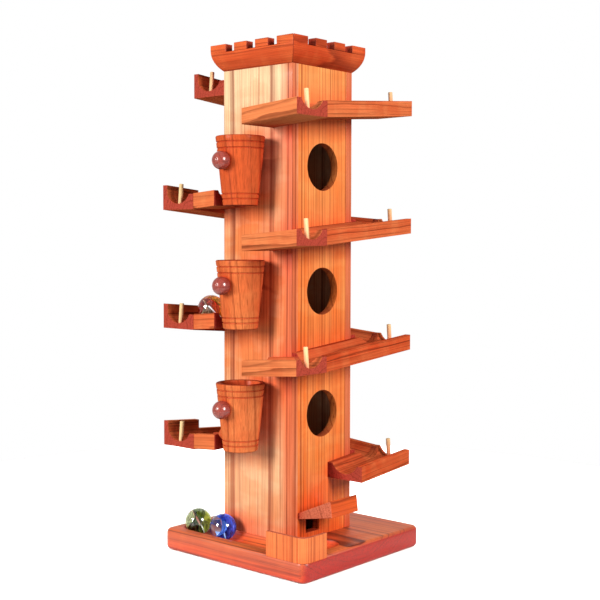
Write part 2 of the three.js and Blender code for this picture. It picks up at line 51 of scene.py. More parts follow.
# Albedos of each wood: early and late wood, the warm bands between them, the end grain, and
# on the front panel the redder "outer" wood beyond the radius "heart". "period" is the ring
# spacing, "pith" the place of the tree's heart and "wander" how far the rings stray, all in
# millimetres. "line" is how dark the lines are, "gloss" the weight of the varnish and "haze"
# its roughness where it isn't PLAIN_HAZE.
PLAIN_HAZE = 0.22
WOODS = {
    "panel_front": dict(
        early=(0.250, 0.172, 0.100), warm=(0.235, 0.067, 0.021), late=(0.075, 0.011, 0.005),
        end=(0.16, 0.036, 0.016), outer=(0.190, 0.043, 0.017), heart=63,
        period=4.4, pith=(12, -50), wander=1.2, line=0.80, gloss=0.12),
    "panel_side": dict(
        early=(0.262, 0.108, 0.033), warm=(0.240, 0.052, 0.010), late=(0.085, 0.012, 0.004),
        end=(0.17, 0.035, 0.012), period=4.8, pith=(-14, -46), wander=1.4, line=0.75, gloss=0.12),
    "fence": dict(
        early=(0.245, 0.068, 0.021), warm=(0.225, 0.048, 0.015), late=(0.070, 0.010, 0.005),
        end=(0.18, 0.045, 0.024), period=5.0, pith=(20, -40), wander=1.5, line=0.75, gloss=0.08),
    "cap": dict(
        early=(0.225, 0.050, 0.015), warm=(0.155, 0.015, 0.004), late=(0.042, 0.004, 0.002),
        end=(0.13, 0.024, 0.012), period=3.6, pith=(14, 30), wander=5, line=0.70, gloss=0.05),
    "track": dict(
        early=(0.205, 0.060, 0.021), warm=(0.150, 0.018, 0.005), late=(0.040, 0.005, 0.002),
        end=(0.128, 0.019, 0.012), period=3.8, pith=(12, -22), wander=7, line=0.78, gloss=0.0),
    "wedge": dict(
        early=(0.190, 0.029, 0.006), warm=(0.165, 0.020, 0.005), late=(0.060, 0.008, 0.003),
        end=(0.20, 0.050, 0.026), period=3.6, pith=(10, 18), wander=6, line=0.80, gloss=0.08),
    "base": dict(
        early=(0.200, 0.046, 0.011), warm=(0.160, 0.024, 0.006), late=(0.030, 0.004, 0.002),
        end=(0.140, 0.005, 0.001), period=6.5, pith=(95, 12), wander=4, line=1.0, gloss=0.70,
        haze=0.42),
    "bucket": dict(
        early=(0.205, 0.062, 0.019), warm=(0.160, 0.026, 0.007), late=(0.065, 0.009, 0.003),
        end=(0.11, 0.017, 0.007), period=5.5, pith=(13, 17), wander=6, line=0.60, gloss=0.06),
    "knob": dict(
        early=(0.105, 0.019, 0.013), warm=(0.085, 0.012, 0.008), late=(0.036, 0.005, 0.003),
        end=(0.095, 0.016, 0.011), period=2.1, pith=(2, 1), wander=3, line=0.70, gloss=0.90),
    "peg": dict(
        early=(0.255, 0.195, 0.105), warm=(0.240, 0.160, 0.080), late=(0.175, 0.108, 0.050),
        end=(0.21, 0.15, 0.085), period=2.4, pith=(6, 9), wander=2, line=0.50, gloss=0.02),
}

# How much warm wood a piece shows, from its foot to its top at even steps. The bands and
# clouds come on top of it, so it may be below 0 or above 1.
PLAIN_TONE = (0.4, 0.4)
TONES = {
    # The panels run lighter and creamier towards the top.
    "panel_front": (0.90, 0.55, 1.00, 1.35, 1.35, 1.20, 0.45, -0.50),
    "panel_right": (1.15, 0.80, 0.80, 0.70, 0.55, 0.10),
    "panel_back": (0.8, 0.6, 0.8, 0.5, 0.3),
    "panel_left": (1.0, 0.7, 0.8, 0.5, 0.2),
    "cap_right": (0.90, 0.90),
    "bucket_1": (1.3, 1.3),
    "track_1_drop": (-0.7, -0.7),
    "track_2_drop": (0.1, 0.1),
    "track_3_drop": (0.1, 0.1),
    "track_1_right": (0.0, 0.0),
    "track_3_right": (0.7, 0.7),
    "track_4_right": (0.6, 0.6),
}
PANEL_ROWS = 24

# Painted shade: within this reach of another face the wood is painted darker and redder. It
# stands in for the shade in nooks and the warm light that the wood throws into its own
# shadows. The tint sets in below the opening NOOK_OPEN.
NOOK_REACH = 0.038
NOOK_SHADE_TINT = (1.30, 0.46, 0.48)
NOOK_SAMPLES = 6
NOOK_SHUT, NOOK_OPEN = 0.30, 0.92
NOOK_SHARE = 0.85

# The noises of a wood: cycles per millimetre along the grain and across it, then the detail,
# the roughness and the values between which the noise sets in, where they aren't plain.
PLAIN_DETAIL = 2.0
PLAIN_ROUGHNESS = 0.5
NOISE_MIDDLE = 0.5
NOISES = {
    "drift": dict(along=0.004, across=0.022, detail=3.0),
    "ripple": dict(along=0.035, across=0.16),
    "cloud": dict(along=0.010, across=0.05, detail=3.0, sets_in=(0.35, 0.70)),
    "figure": dict(along=0.07, across=0.03, sets_in=(0.42, 0.66)),
    "hair": dict(along=0.0022, across=0.85, detail=1.0, sets_in=(0.63, 0.72)),
    "fibre": dict(along=0.016, across=1.1, detail=3.0, roughness=0.6),
    "streak": dict(along=0.004, across=0.30, sets_in=(0.60, 0.74)),
    "pores": dict(along=0.09, across=3.2, sets_in=(0.60, 0.72)),
    "speck": dict(along=0.6, across=0.9, detail=4.0, roughness=0.75, sets_in=(0.38, 0.66)),
}

# How far the drift and the ripple move a ring, in wanders, and the unevenness of the rings'
# spacing: its rate per millimetre of radius and its size in ring spacings.
SWAYS = {"drift": 2.2, "ripple": 0.25}
UNEVEN_RATE = 0.13
UNEVEN_SIZE = 1.6

# A ring's late wood sets in and peaks at these shares of the ring, and is gone at its end. The
# faintest year shows this share of it.
LATE_START, LATE_PEAK = 0.62, 0.92
FAINTEST_YEAR = 0.22

# The warm wood is shared out between the piece's own tone and three layers.
TONE_SHARE = 0.65
WARM_SHARES = {"band": 0.35, "cloud": 0.30, "figure": -0.20}
BAND_RATE = 0.055
BAND_DETAIL = 2.0
BAND_SETS_IN = (0.38, 0.64)

# The width in millimetres over which the outer wood sets in, and its share.
OUTER_BLEND = 9
OUTER_SHARE = 0.9

# Shares of the late wood's colour in the hairlines, the streaks and the end grain.
HAIR_SHARE = 0.75
STREAK_SHARE = 0.45
END_RING_SHARE = 0.40
END_SPECK_SHARE = 0.55

# The fibres run between these two shades, and the pores darken them.
FIBRE_SPAN = (0.25, 0.75)
FIBRE_SHADES = (0.76, 1.18)
PORE_SHADE = 0.10

# Heights of the fibres, the late wood and the pores in the bump, and the bump's size.
FIBRE_HEIGHT, LATE_HEIGHT, PORE_HEIGHT = 0.6, 0.4, 0.5
BUMP_STRENGTH = 0.25
BUMP_DISTANCE = 0.00022

# The roughness of bare wood between coarse and fine fibres. The gloss takes some off.
ROUGH_SPAN = (0.3, 0.7)
ROUGH_COARSE, ROUGH_FINE = 0.50, 0.40
POLISH = 0.2
VARNISH_IOR = 1.38

# Each marble's clear glass tint, then the colours of its vanes.
GLASS_IOR = 1.5
GLASS_CLOUD = (0.3, 0.3, 0.3)
GLASS_CLOUD_SHADE = 0.96
VANE_STREAK = (0.12, 0.9, 0.9)
VANE_STREAK_DETAIL = 3.0
VANE_SETS_IN = (0.38, 0.62)
VANE_DARK = 0.35
VANE_ROUGHNESS = 0.25
GLASSES = {
    "green": [(0.90, 0.97, 0.84),
              (0.10, 0.16, 0.015), (0.42, 0.46, 0.05), (0.62, 0.66, 0.40), (0.03, 0.07, 0.02)],
    "blue": [(0.36, 0.55, 1.00),
             (0.02, 0.12, 0.62), (0.04, 0.20, 0.80), (0.01, 0.05, 0.36), (0.05, 0.22, 0.72)],
    "red": [(1.00, 0.98, 0.96),
            (0.75, 0.09, 0.03), (0.90, 0.35, 0.04), (0.60, 0.05, 0.03), (0.92, 0.80, 0.60)],
}


# --- Materials ---

# The Mix node's numbers for its factor, its two colours and their result.
MIX_FACTOR, MIX_A, MIX_B, MIX_RESULT = 0, 6, 7, 2


class Graph:
    """A short way to write a material's nodes."""

    def __init__(self, name):
        self.material = bpy.data.materials.new(name)
        self.material.use_nodes = True
        self.tree = self.material.node_tree
        self.shader = self.tree.nodes["Principled BSDF"]

    def node(self, kind, inputs, output=0, **settings):
        made = self.tree.nodes.new(kind)
        for key, value in settings.items():
            setattr(made, key, value)
        for key, value in inputs.items():
            self.put(made.inputs[key], value)
        return made.outputs[output]

    def put(self, socket, value):
        if isinstance(value, bpy.types.NodeSocket):
            self.tree.links.new(value, socket)
        else:
            socket.default_value = value

    def surface(self, **values):
        for key, value in values.items():
            self.put(self.shader.inputs[key.replace("_", " ")], value)

    def attribute(self, name, output):
        return self.node("ShaderNodeAttribute", {}, output, attribute_name=name)

    def math(self, operation, a, b=0.0):
        return self.node("ShaderNodeMath", {0: a, 1: b}, operation=operation)

    def scaled(self, vector, factors):
        return self.node("ShaderNodeVectorMath", {0: vector, 1: factors}, operation="MULTIPLY")

    def noise(self, vector, factors, detail=PLAIN_DETAIL, roughness=PLAIN_ROUGHNESS):
        return self.node("ShaderNodeTexNoise", {
            "Vector": self.scaled(vector, factors), "Scale": 1.0,
            "Detail": detail, "Roughness": roughness,
        })

    def noise_line(self, value, detail=1.0):
        return self.node("ShaderNodeTexNoise", {"W": value, "Scale": 1.0, "Detail": detail},
                         noise_dimensions="1D")

    def ramp(self, value, low, high, start=0.0, end=1.0):
        return self.node("ShaderNodeMapRange", {
            "Value": value, "From Min": low, "From Max": high, "To Min": start, "To Max": end,
        }, interpolation_type="SMOOTHSTEP")

    def mix(self, factor, a, b, blend="MIX"):
        return self.node("ShaderNodeMix", {MIX_FACTOR: factor, MIX_A: a, MIX_B: b}, MIX_RESULT,
                         data_type="RGBA", blend_type=blend)


def rgba(colour):
    return (*colour, 1.0)


def grain_noise(g, grain, name):
    """One of the wood's noises, from 0 to 1 over the values where it sets in."""
    layer = NOISES[name]
    noise = g.noise(grain, (layer["along"], layer["across"], layer["across"]),
                    layer.get("detail", PLAIN_DETAIL), layer.get("roughness", PLAIN_ROUGHNESS))
    return g.ramp(noise, *layer["sets_in"]) if "sets_in" in layer else noise


def growth_rings(g, grain, wood):
    """The wandering distance from the pith, and how much late wood there is at each point."""
    across = g.scaled(grain, (0.0, 1.0, 1.0))
    radius = g.node("ShaderNodeVectorMath", {0: across}, "Value", operation="LENGTH")
    for name, size in SWAYS.items():
        sway = g.math("SUBTRACT", grain_noise(g, grain, name), NOISE_MIDDLE)
        radius = g.math("ADD", radius, g.math("MULTIPLY", sway, size * wood["wander"]))
    uneven = g.noise_line(g.math("MULTIPLY", radius, UNEVEN_RATE))
    uneven = g.math("SUBTRACT", uneven, NOISE_MIDDLE)
    radius = g.math("ADD", radius, g.math("MULTIPLY", uneven, UNEVEN_SIZE * wood["period"]))
    ring = g.math("DIVIDE", radius, wood["period"])
    phase = g.math("FRACT", ring)
    late = g.math("MULTIPLY", g.ramp(phase, LATE_START, LATE_PEAK),
                  g.ramp(phase, LATE_PEAK, 1.0, 1.0, 0.0))
    year = g.node("ShaderNodeTexWhiteNoise", {"W": g.math("FLOOR", ring)}, noise_dimensions="1D")
    return radius, g.math("MULTIPLY", late, g.ramp(year, 0.0, 1.0, FAINTEST_YEAR, 1.0))


def bands_and_lines(g, grain, wood, radius, late):
    """Early wood with warm bands, the outer wood, and over them the ring lines and hairlines."""
    layers = {
        "band": g.ramp(g.noise_line(g.math("MULTIPLY", radius, BAND_RATE), BAND_DETAIL),
                       *BAND_SETS_IN),
        "cloud": grain_noise(g, grain, "cloud"),
        "figure": grain_noise(g, grain, "figure"),
    }
    warmth = g.math("MULTIPLY", g.attribute("tone", "Fac"), TONE_SHARE)
    for name, share in WARM_SHARES.items():
        warmth = g.math("ADD", warmth, g.math("MULTIPLY", layers[name], share))
    warmth = g.node("ShaderNodeClamp", {"Value": warmth})
    colour = g.mix(warmth, rgba(wood["early"]), rgba(wood["warm"]))
    if "outer" in wood:
        outer = g.ramp(radius, wood["heart"], wood["heart"] + OUTER_BLEND, 0.0, OUTER_SHARE)
        colour = g.mix(outer, colour, rgba(wood["outer"]))
    colour = g.mix(g.math("MULTIPLY", late, wood["line"]), colour, rgba(wood["late"]))
    hair = g.math("MULTIPLY", grain_noise(g, grain, "hair"), HAIR_SHARE * wood["line"])
    return g.mix(hair, colour, rgba(wood["late"]))


def wood_material(name, wood):
    """Solid wood from growth rings about the pith, fibres, pores, bands and end grain, with
    painted shade in nooks.
    """
    g = Graph(name)
    grain = g.attribute("grain", "Vector")
    radius, late = growth_rings(g, grain, wood)
    colour = bands_and_lines(g, grain, wood, radius, late)
    fibre = grain_noise(g, grain, "fibre")
    streak = grain_noise(g, grain, "streak")
    pores = grain_noise(g, grain, "pores")
    shade = g.ramp(fibre, *FIBRE_SPAN, *FIBRE_SHADES)
    shade = g.math("SUBTRACT", shade, g.math("MULTIPLY", pores, PORE_SHADE))
    grey = g.node("ShaderNodeCombineXYZ", {0: shade, 1: shade, 2: shade})
    colour = g.mix(1.0, colour, grey, "MULTIPLY")
    streak = g.math("MULTIPLY", streak, STREAK_SHARE * wood["line"])
    colour = g.mix(streak, colour, rgba(wood["late"]))

    end_late = g.math("ADD", g.math("MULTIPLY", late, END_RING_SHARE),
                      g.math("MULTIPLY", grain_noise(g, grain, "speck"), END_SPECK_SHARE))
    end = g.mix(end_late, rgba(wood["end"]), rgba(wood["late"]))
    colour = g.mix(g.attribute("end", "Fac"), colour, end)
    # Painted shade: faces near other faces are painted darker and redder.
    opening = g.node("ShaderNodeAmbientOcclusion", {"Distance": NOOK_REACH}, "AO",
                     samples=NOOK_SAMPLES)
    nook_shade = g.ramp(opening, NOOK_SHUT, NOOK_OPEN, NOOK_SHARE, 0.0)
    colour = g.mix(nook_shade, colour, rgba(NOOK_SHADE_TINT), "MULTIPLY")

    height = g.math("ADD", g.math("MULTIPLY", fibre, FIBRE_HEIGHT),
                    g.math("MULTIPLY", late, LATE_HEIGHT))
    height = g.math("SUBTRACT", height, g.math("MULTIPLY", pores, PORE_HEIGHT))
    bump = g.node("ShaderNodeBump", {
        "Strength": BUMP_STRENGTH, "Distance": BUMP_DISTANCE, "Height": height,
    })
    polish = POLISH * wood["gloss"]
    g.surface(
        Base_Color=colour, Normal=bump,
        Roughness=g.ramp(fibre, *ROUGH_SPAN, ROUGH_COARSE - polish, ROUGH_FINE - polish),
        Specular_IOR_Level=0.0, Coat_Weight=wood["gloss"],
        Coat_Roughness=wood.get("haze", PLAIN_HAZE), Coat_IOR=VARNISH_IOR,
    )
    return g.material


def clear_glass(name, tint):
    g = Graph(name)
    cloud = g.noise(g.attribute("grain", "Vector"), GLASS_CLOUD)
    g.surface(
        Base_Color=g.mix(cloud, rgba(tint), rgba([GLASS_CLOUD_SHADE * c for c in tint])),
        Roughness=0.0, IOR=GLASS_IOR, Transmission_Weight=1.0,
    )
    return g.material


def vane_glass(name, colour):
    """Opaque coloured glass, streaked along the vane."""
    g = Graph(name)
    streak = g.noise(g.attribute("grain", "Vector"), VANE_STREAK, VANE_STREAK_DETAIL)
    dark = tuple(VANE_DARK * c for c in colour)
    g.surface(
        Base_Color=g.mix(g.ramp(streak, *VANE_SETS_IN), rgba(dark), rgba(colour)),
        Roughness=VANE_ROUGHNESS, IOR=GLASS_IOR,
    )
    return g.material


FLOOR_GREYS = (0.60, 0.62)
FLOOR_MOTTLE = (40, 40, 40)
FLOOR_ROUGHNESS = 0.9
FLOOR_SPECULAR = 0.1


def floor_material():
    g = Graph("floor_paper")
    mottle = g.noise(g.node("ShaderNodeTexCoord", {}, "Object"), FLOOR_MOTTLE)
    g.surface(
        Base_Color=g.mix(mottle, *(rgba((grey, grey, grey)) for grey in FLOOR_GREYS)),
        Roughness=FLOOR_ROUGHNESS, Specular_IOR_Level=FLOOR_SPECULAR,
    )
    return g.material


# --- Mesh tools ---

def new_object(name, mesh):
    made = bpy.data.objects.new(name, mesh)
    bpy.context.scene.collection.objects.link(made)
    return made


def with_modifiers_applied(piece):
    bpy.context.view_layer.update()
    graph = bpy.context.evaluated_depsgraph_get()
    mesh = bpy.data.meshes.new_from_object(piece.evaluated_get(graph))
    piece.modifiers.clear()
    piece.data = mesh
    mesh.name = piece.name
    return piece


def eased(piece, edge):
    """Rounds every sharp edge, as sanding does, and shades the rest smooth."""
    for polygon in piece.data.polygons:
        polygon.use_smooth = True
    bevel = piece.modifiers.new("eased", "BEVEL")
    bevel.width = edge
    bevel.segments = EASE_SEGMENTS
    bevel.limit_method = "ANGLE"
    bevel.angle_limit = SHARP_ANGLE
    bevel.harden_normals = True
    bevel.miter_outer = "MITER_ARC"
    return with_modifiers_applied(piece)


def copied_node(node):
    """A copy of a CAD node's mesh with its coplanar triangles joined into whole faces."""
    work = bmesh.new()
    work.from_mesh(frame["nodes"][node].data)
    bmesh.ops.remove_doubles(work, verts=work.verts, dist=WELD_DISTANCE)
    bmesh.ops.dissolve_limit(work, angle_limit=FLAT_ANGLE, verts=work.verts, edges=work.edges)
    if node.startswith("panel"):
        add_rows(work, *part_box(node))
    mesh = bpy.data.meshes.new(node)
    work.to_mesh(mesh)
    work.free()
    return new_object("wood_" + node, mesh)


def add_rows(work, low, high):
    """Level cuts, so that a tall board's tone can change with height."""
    for row in range(1, PANEL_ROWS):
        height = low.z + (high.z - low.z) * row / PANEL_ROWS
        everything = work.verts[:] + work.edges[:] + work.faces[:]
        bmesh.ops.bisect_plane(work, geom=everything, plane_co=(0, 0, height), plane_no=UPRIGHT)


def lathe(name, profile, sides, matrix):
    """Turns a profile of (radius, height) points about Z. Points on the axis close it."""
    work = bmesh.new()
    rings = []
    for radius, height in profile:
        if radius < ON_AXIS:
            rings.append([work.verts.new((0, 0, height))])
            continue
        rings.append([
            work.verts.new((
                radius * math.cos(math.tau * k / sides),
                radius * math.sin(math.tau * k / sides), height,
            )) for k in range(sides)
        ])
    for low, high in zip(rings, rings[1:]):
        for k in range(sides):
            after = (k + 1) % sides
            corners = [low[k % len(low)], low[after % len(low)],
                       high[after % len(high)], high[k % len(high)]]
            work.faces.new(list(dict.fromkeys(corners)))
    bmesh.ops.recalc_face_normals(work, faces=work.faces)
    bmesh.ops.transform(work, matrix=matrix, verts=work.verts)
    mesh = bpy.data.meshes.new(name)
    work.to_mesh(mesh)
    work.free()
    for polygon in mesh.polygons:
        polygon.use_smooth = True
    return new_object(name, mesh)


def arc(centre, radius, start, end, steps):
    """Points on an arc, angles in degrees."""
    return [
        (centre[0] + radius * math.cos(math.radians(start + (end - start) * k / steps)),
         centre[1] + radius * math.sin(math.radians(start + (end - start) * k / steps)))
        for k in range(steps + 1)
    ]


# Where in the tree a piece comes from, in millimetres: up to this far along it, and this far
# either way from the wood's own place.
TREE_LENGTH = 900
PITH_SPREAD = (7, 4)

# Faces turned this far to the grain show end grain, fully after the blend. NEARLY_ALONG says
# when a grain direction is too close to Y to measure the board's thickness from it.
END_FACING = 0.55
END_BLEND = 0.35
NEARLY_ALONG = 0.7


def set_grain(piece, along, wood, seed, tones_up=PLAIN_TONE):
    """Writes the wood's own coordinates, in millimetres with x along the grain, its end-grain
    mask and its tone. The seed picks which part of the tree the piece comes from."""
    mesh = piece.data
    draw = random.Random(seed)
    along = Vector(along).normalized()
    reference = Vector(ALONG_Y) if abs(along.y) < NEARLY_ALONG else Vector(ALONG_X)
    thick = (reference - along * reference.dot(along)).normalized()
    across = thick.cross(along)
    low, high = mesh_box(mesh)
    centre = (low + high) / 2
    offset = Vector((draw.uniform(0, TREE_LENGTH), *wood["pith"]))
    offset.y += draw.uniform(-PITH_SPREAD[0], PITH_SPREAD[0])
    offset.z += draw.uniform(-PITH_SPREAD[1], PITH_SPREAD[1])
    places, tones = [], []
    for vertex in mesh.vertices:
        reach = (vertex.co - centre) / MM
        local = Vector((reach.dot(along), reach.dot(across), reach.dot(thick)))
        places.extend(local + offset)
        share = (vertex.co.z - low.z) / max(high.z - low.z, LEAST_HEIGHT)
        tones.append(tone_at(tones_up, share))
    ends = []
    for polygon in mesh.polygons:
        facing = abs(polygon.normal.dot(along))
        ends.append(min(max((facing - END_FACING) / END_BLEND, 0.0), 1.0))
    write_attribute(mesh, "grain", "FLOAT_VECTOR", "POINT", "vector", places)
    write_attribute(mesh, "tone", "FLOAT", "POINT", "value", tones)
    write_attribute(mesh, "end", "FLOAT", "FACE", "value", ends)


def tone_at(tones_up, share):
    """The tone at a share of a piece's height, between evenly spaced values."""
    place = share * (len(tones_up) - 1)
    below = min(int(place), len(tones_up) - 2)
    return tones_up[below] + (tones_up[below + 1] - tones_up[below]) * (place - below)


def write_attribute(mesh, name, kind, domain, field, values):
    mesh.attributes.new(name, kind, domain).data.foreach_set(field, values)


def mesh_box(mesh):
    points = [v.co for v in mesh.vertices]
    low = Vector([min(p[i] for p in points) for i in range(3)])
    high = Vector([max(p[i] for p in points) for i in range(3)])
    return low, high


def finished(piece, node, body, material):
    piece.data.materials.clear()
    piece.data.materials.append(material)
    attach(piece, body)
    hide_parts(node)


# --- Pieces cut from boards ---

def run_direction(node):
    side = node.rsplit("_", 1)[1]
    x, y = RUN_DIRECTIONS["front" if side in ("drop", "catch") else side]
    return (x, y, -TRACK_FALL)


# How far each wood's boards have their edges eased, in millimetres.
EASED_EDGES = {"panel_front": 0.35, "panel_side": 0.35, "fence": 0.6, "cap": 0.4, "track": 0.5,
               "wedge": 0.6, "base": 0.5}


def board_plan(node):
    """How a board is cut: its grain direction and its wood."""
    side = node.rsplit("_", 1)[1]
    if node.startswith("panel"):
        return UPRIGHT, "panel_front" if side in ("front", "back") else "panel_side"
    if node.startswith("fence"):
        return UPRIGHT, "fence"
    if node.startswith("cap"):
        return (*RUN_DIRECTIONS[side], 0), "cap"
    if node.startswith("track"):
        return run_direction(node), "track"
    if node == "landing_wedge":
        return ALONG_Y, "wedge"
    return ALONG_X, "cap" if node == "roof_board" else "base"


def add_boards():
    for seed, (node, slot) in enumerate(SLOTS.items()):
        if not node.startswith(("panel", "fence", "cap", "track", "landing", "roof", "base")):
            continue
        along, wood = board_plan(node)
        piece = eased(copied_node(node), EASED_EDGES[wood] * MM)
        set_grain(piece, along, WOODS[wood], seed, TONES.get(node, PLAIN_TONE))
        finished(piece, node, "tower", MATERIALS[wood])


# --- Turned pieces ---

DOWEL_EDGE = 0.45 * MM
DOWEL_EDGE_STEPS = 4
DOWEL_SIDES = 40
DOWEL_SEED = 100


def add_dowel(node, seed):
    """A peg or axle: a fine dowel with sanded ends, on the CAD dowel's own axis."""
    mesh = frame["nodes"][node].data
    axis, centre, length, radius = dowel_axis(mesh)
    inner, half = radius - DOWEL_EDGE, length / 2
    profile = [(0, -half)]
    profile += arc((inner, -half + DOWEL_EDGE), DOWEL_EDGE, -90, 0, DOWEL_EDGE_STEPS)
    profile += arc((inner, half - DOWEL_EDGE), DOWEL_EDGE, 0, 90, DOWEL_EDGE_STEPS)
    profile += [(0, half)]
    turn = Vector(UPRIGHT).rotation_difference(axis).to_matrix().to_4x4()
    piece = lathe("dowel_" + node, profile, DOWEL_SIDES, Matrix.Translation(centre) @ turn)
    set_grain(piece, axis, WOODS["peg"], seed)
    finished(piece, node, "tower", MATERIALS["peg"])


def dowel_axis(mesh):
    """A CAD dowel's axis, centre, length and radius, from the middles of its two ends."""
    low, high = mesh_box(mesh)
    main = max(range(3), key=lambda k: high[k] - low[k])
    middle = (low[main] + high[main]) / 2
    ends = []
    for above in (False, True):
        points = [v.co for v in mesh.vertices if (v.co[main] > middle) == above]
        ends.append(sum(points, Vector()) / len(points))
    foot, top = ends
    axis = (top - foot).normalized()
    radius = max(((v.co - foot).cross(axis)).length for v in mesh.vertices)
    return axis, (foot + top) / 2, (top - foot).length, radius


# A bucket's hoop lines are heights from its axle. Its foot's radius is a share of the rim's.
# Arcs are in degrees and stop short where they meet the tapered wall or the cup.
FOOT_SHARE = 15.5 / 22
BUCKET_EDGE = 1.3 * MM
EDGE_STEPS = 6
FOOT_ARC = (-75, 5)
RIM_ARC = (0, 90)
LIP_ARC = (100, 175)
CUP_ARC = (0, -90)
HOOP_LINES = [-33.2 * MM, -28.8 * MM, 11.1 * MM, 16.6 * MM]
HOOP_DEPTH = 0.75 * MM
HOOP_HALF = 0.7 * MM
HOOP_STEPS = 4
HOOP_SOFTNESS = 0.8
WALL = 4.6 * MM
CUP_DEPTH = 15 * MM
CUP_TAPER = 3.2 * MM
CUP_CORNER = 4 * MM
CUP_CORNER_REACH = 1.2 * MM
CUP_CORNER_STEPS = 8
BUCKET_SIDES = 96
BORE_CLEARANCE = 0.3 * MM
BORE_REACH = 30 * MM
BORE_SIDES = 40
BUCKET_SEED, BUCKET_SEED_STEP = 40, 7


def bucket_profile(foot_radius, rim_radius, foot, rim):
    """Up the outside with a soft V at each hoop line, over the rim and down into the cup."""
    def wall(z):
        return foot_radius + (rim_radius - foot_radius) * (z - foot) / (rim - foot)

    points = [(0, foot), (foot_radius - BUCKET_EDGE, foot)]
    points += arc((foot_radius - BUCKET_EDGE, foot + BUCKET_EDGE), BUCKET_EDGE, *FOOT_ARC,
                  EDGE_STEPS)
    for line in HOOP_LINES:
        for step in range(-HOOP_STEPS, HOOP_STEPS + 1):
            height = line + HOOP_HALF * step / HOOP_STEPS
            dip = 0
            if abs(step) < HOOP_STEPS:
                dip = HOOP_DEPTH * math.cos(math.pi / 2 * step / HOOP_STEPS) ** HOOP_SOFTNESS
            points.append((wall(height) - dip, height))
    points += arc((rim_radius - BUCKET_EDGE, rim - BUCKET_EDGE), BUCKET_EDGE, *RIM_ARC,
                  EDGE_STEPS)
    lip = rim_radius - WALL
    points += arc((lip + BUCKET_EDGE, rim - BUCKET_EDGE), BUCKET_EDGE, *LIP_ARC, EDGE_STEPS)
    floor = rim - CUP_DEPTH
    corner = lip - CUP_TAPER - CUP_CORNER + CUP_CORNER_REACH
    points += arc((corner, floor + CUP_CORNER), CUP_CORNER, *CUP_ARC, CUP_CORNER_STEPS)
    points.append((0, floor))
    return points


def add_bucket(number):
    node = f"bucket_{number}"
    low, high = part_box(node)
    axle_low, axle_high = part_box(f"axle_{number}")
    pivot = (axle_low + axle_high) / 2
    centre = (low + high) / 2
    foot, rim = low.z - pivot.z, high.z - pivot.z
    rim_radius = (high.y - low.y) / 2
    foot_radius = rim_radius * FOOT_SHARE
    place = Matrix.Translation((centre.x, centre.y, pivot.z))
    piece = lathe(f"turned_{node}", bucket_profile(foot_radius, rim_radius, foot, rim),
                  BUCKET_SIDES, place)
    bore_radius = (axle_high.z - axle_low.z) / 2 + BORE_CLEARANCE
    bore_profile = [(0, -BORE_REACH), (bore_radius, -BORE_REACH),
                    (bore_radius, BORE_REACH), (0, BORE_REACH)]
    bore_place = Matrix.Translation((pivot.x, centre.y, pivot.z)) @ ONTO_Y
    bore = lathe("bore", bore_profile, BORE_SIDES, bore_place)
    cutter = piece.modifiers.new("bore", "BOOLEAN")
    cutter.operation = "DIFFERENCE"
    cutter.object = bore
    cutter.solver = "EXACT"
    with_modifiers_applied(piece)
    bpy.data.objects.remove(bore)
    piece.data.set_sharp_from_angle(angle=SHARP_ANGLE)
    seed = BUCKET_SEED + BUCKET_SEED_STEP * number
    set_grain(piece, UPRIGHT, WOODS["bucket"], seed, TONES.get(node, PLAIN_TONE))
    finished(piece, node, node, MATERIALS["bucket"])


KNOB_SIDES = 72
KNOB_STEPS = 40
KNOB_EASE = 0.5 * MM
KNOB_GRAIN = (0.25, 1, 0.1)
KNOB_SEED = 60
TURNED_LINE_STEPS = (5, 34)
TURNED_LINE_DEPTH = 0.25 * MM
SOCKET_CLEARANCE = 0.25 * MM
SOCKET_END_GAP = 0.3 * MM


def add_knob(number):
    """A ball with a flat back, two fine turned lines, and a socket for the axle."""
    node = f"knob_{number}"
    low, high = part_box(node)
    radius = (high.z - low.z) / 2
    centre = (low + high) / 2
    flat = high.y - low.y - radius
    start = -math.degrees(math.asin(flat / radius))
    axle_low, axle_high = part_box(f"axle_{number}")
    socket = (axle_high.z - axle_low.z) / 2 + SOCKET_CLEARANCE
    depth = -flat + (high.y - axle_low.y) + SOCKET_END_GAP
    profile = [(0, depth), (socket, depth), (socket, -flat)]
    edge = math.radians(start)
    profile.append((radius * math.cos(edge) - KNOB_EASE, -flat))
    for step in range(KNOB_STEPS + 1):
        angle = math.radians(start + (90 - start) * step / KNOB_STEPS)
        line = TURNED_LINE_DEPTH if step in TURNED_LINE_STEPS else 0.0
        profile.append(((radius - line) * math.cos(angle), (radius - line) * math.sin(angle)))
    profile[-1] = (0, radius)
    place = Matrix.Translation((centre.x, low.y + radius, centre.z)) @ ONTO_Y
    piece = lathe(f"turned_{node}", profile, KNOB_SIDES, place)
    piece.data.set_sharp_from_angle(angle=SHARP_ANGLE)
    set_grain(piece, KNOB_GRAIN, WOODS["knob"], KNOB_SEED + number)
    finished(piece, node, "tower", MATERIALS["knob"])


# --- Marbles ---

BALL_STEPS = 56
BALL_SIDES = 96
MARBLE_SEED, MARBLE_SEED_STEP = 200, 10

# A vane's measures are shares of the ball's radius: how far up it reaches, its least width at
# the poles, and how near the axis it starts. Angles are radians.
VANE_STEPS = 36
VANE_WIDTH_STEPS = 10
VANE_REACH = 0.80
VANE_LEAST = 0.02
VANE_START = 0.08
VANE_CURL = 0.5
VANE_WAVES = 2.2
VANE_TWIST = 1.3
VANE_THICKNESS = 0.35 * MM
VANE_TURN_SPREAD = 0.2
VANE_WIDTHS = (0.72, 0.86)
TILTS_X = (0.3, 0.9)
TILTS_Y = (-0.6, 0.6)


def glass_ball(node):
    low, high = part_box(node)
    radius = (high.z - low.z) / 2
    profile = [(radius * math.cos(math.radians(a)), radius * math.sin(math.radians(a)))
               for a in [-90 + 180 * k / BALL_STEPS for k in range(BALL_STEPS + 1)]]
    profile[0], profile[-1] = (0, -radius), (0, radius)
    place = Matrix.Translation((low + high) / 2)
    return lathe(f"glass_{node}", profile, BALL_SIDES, place), radius


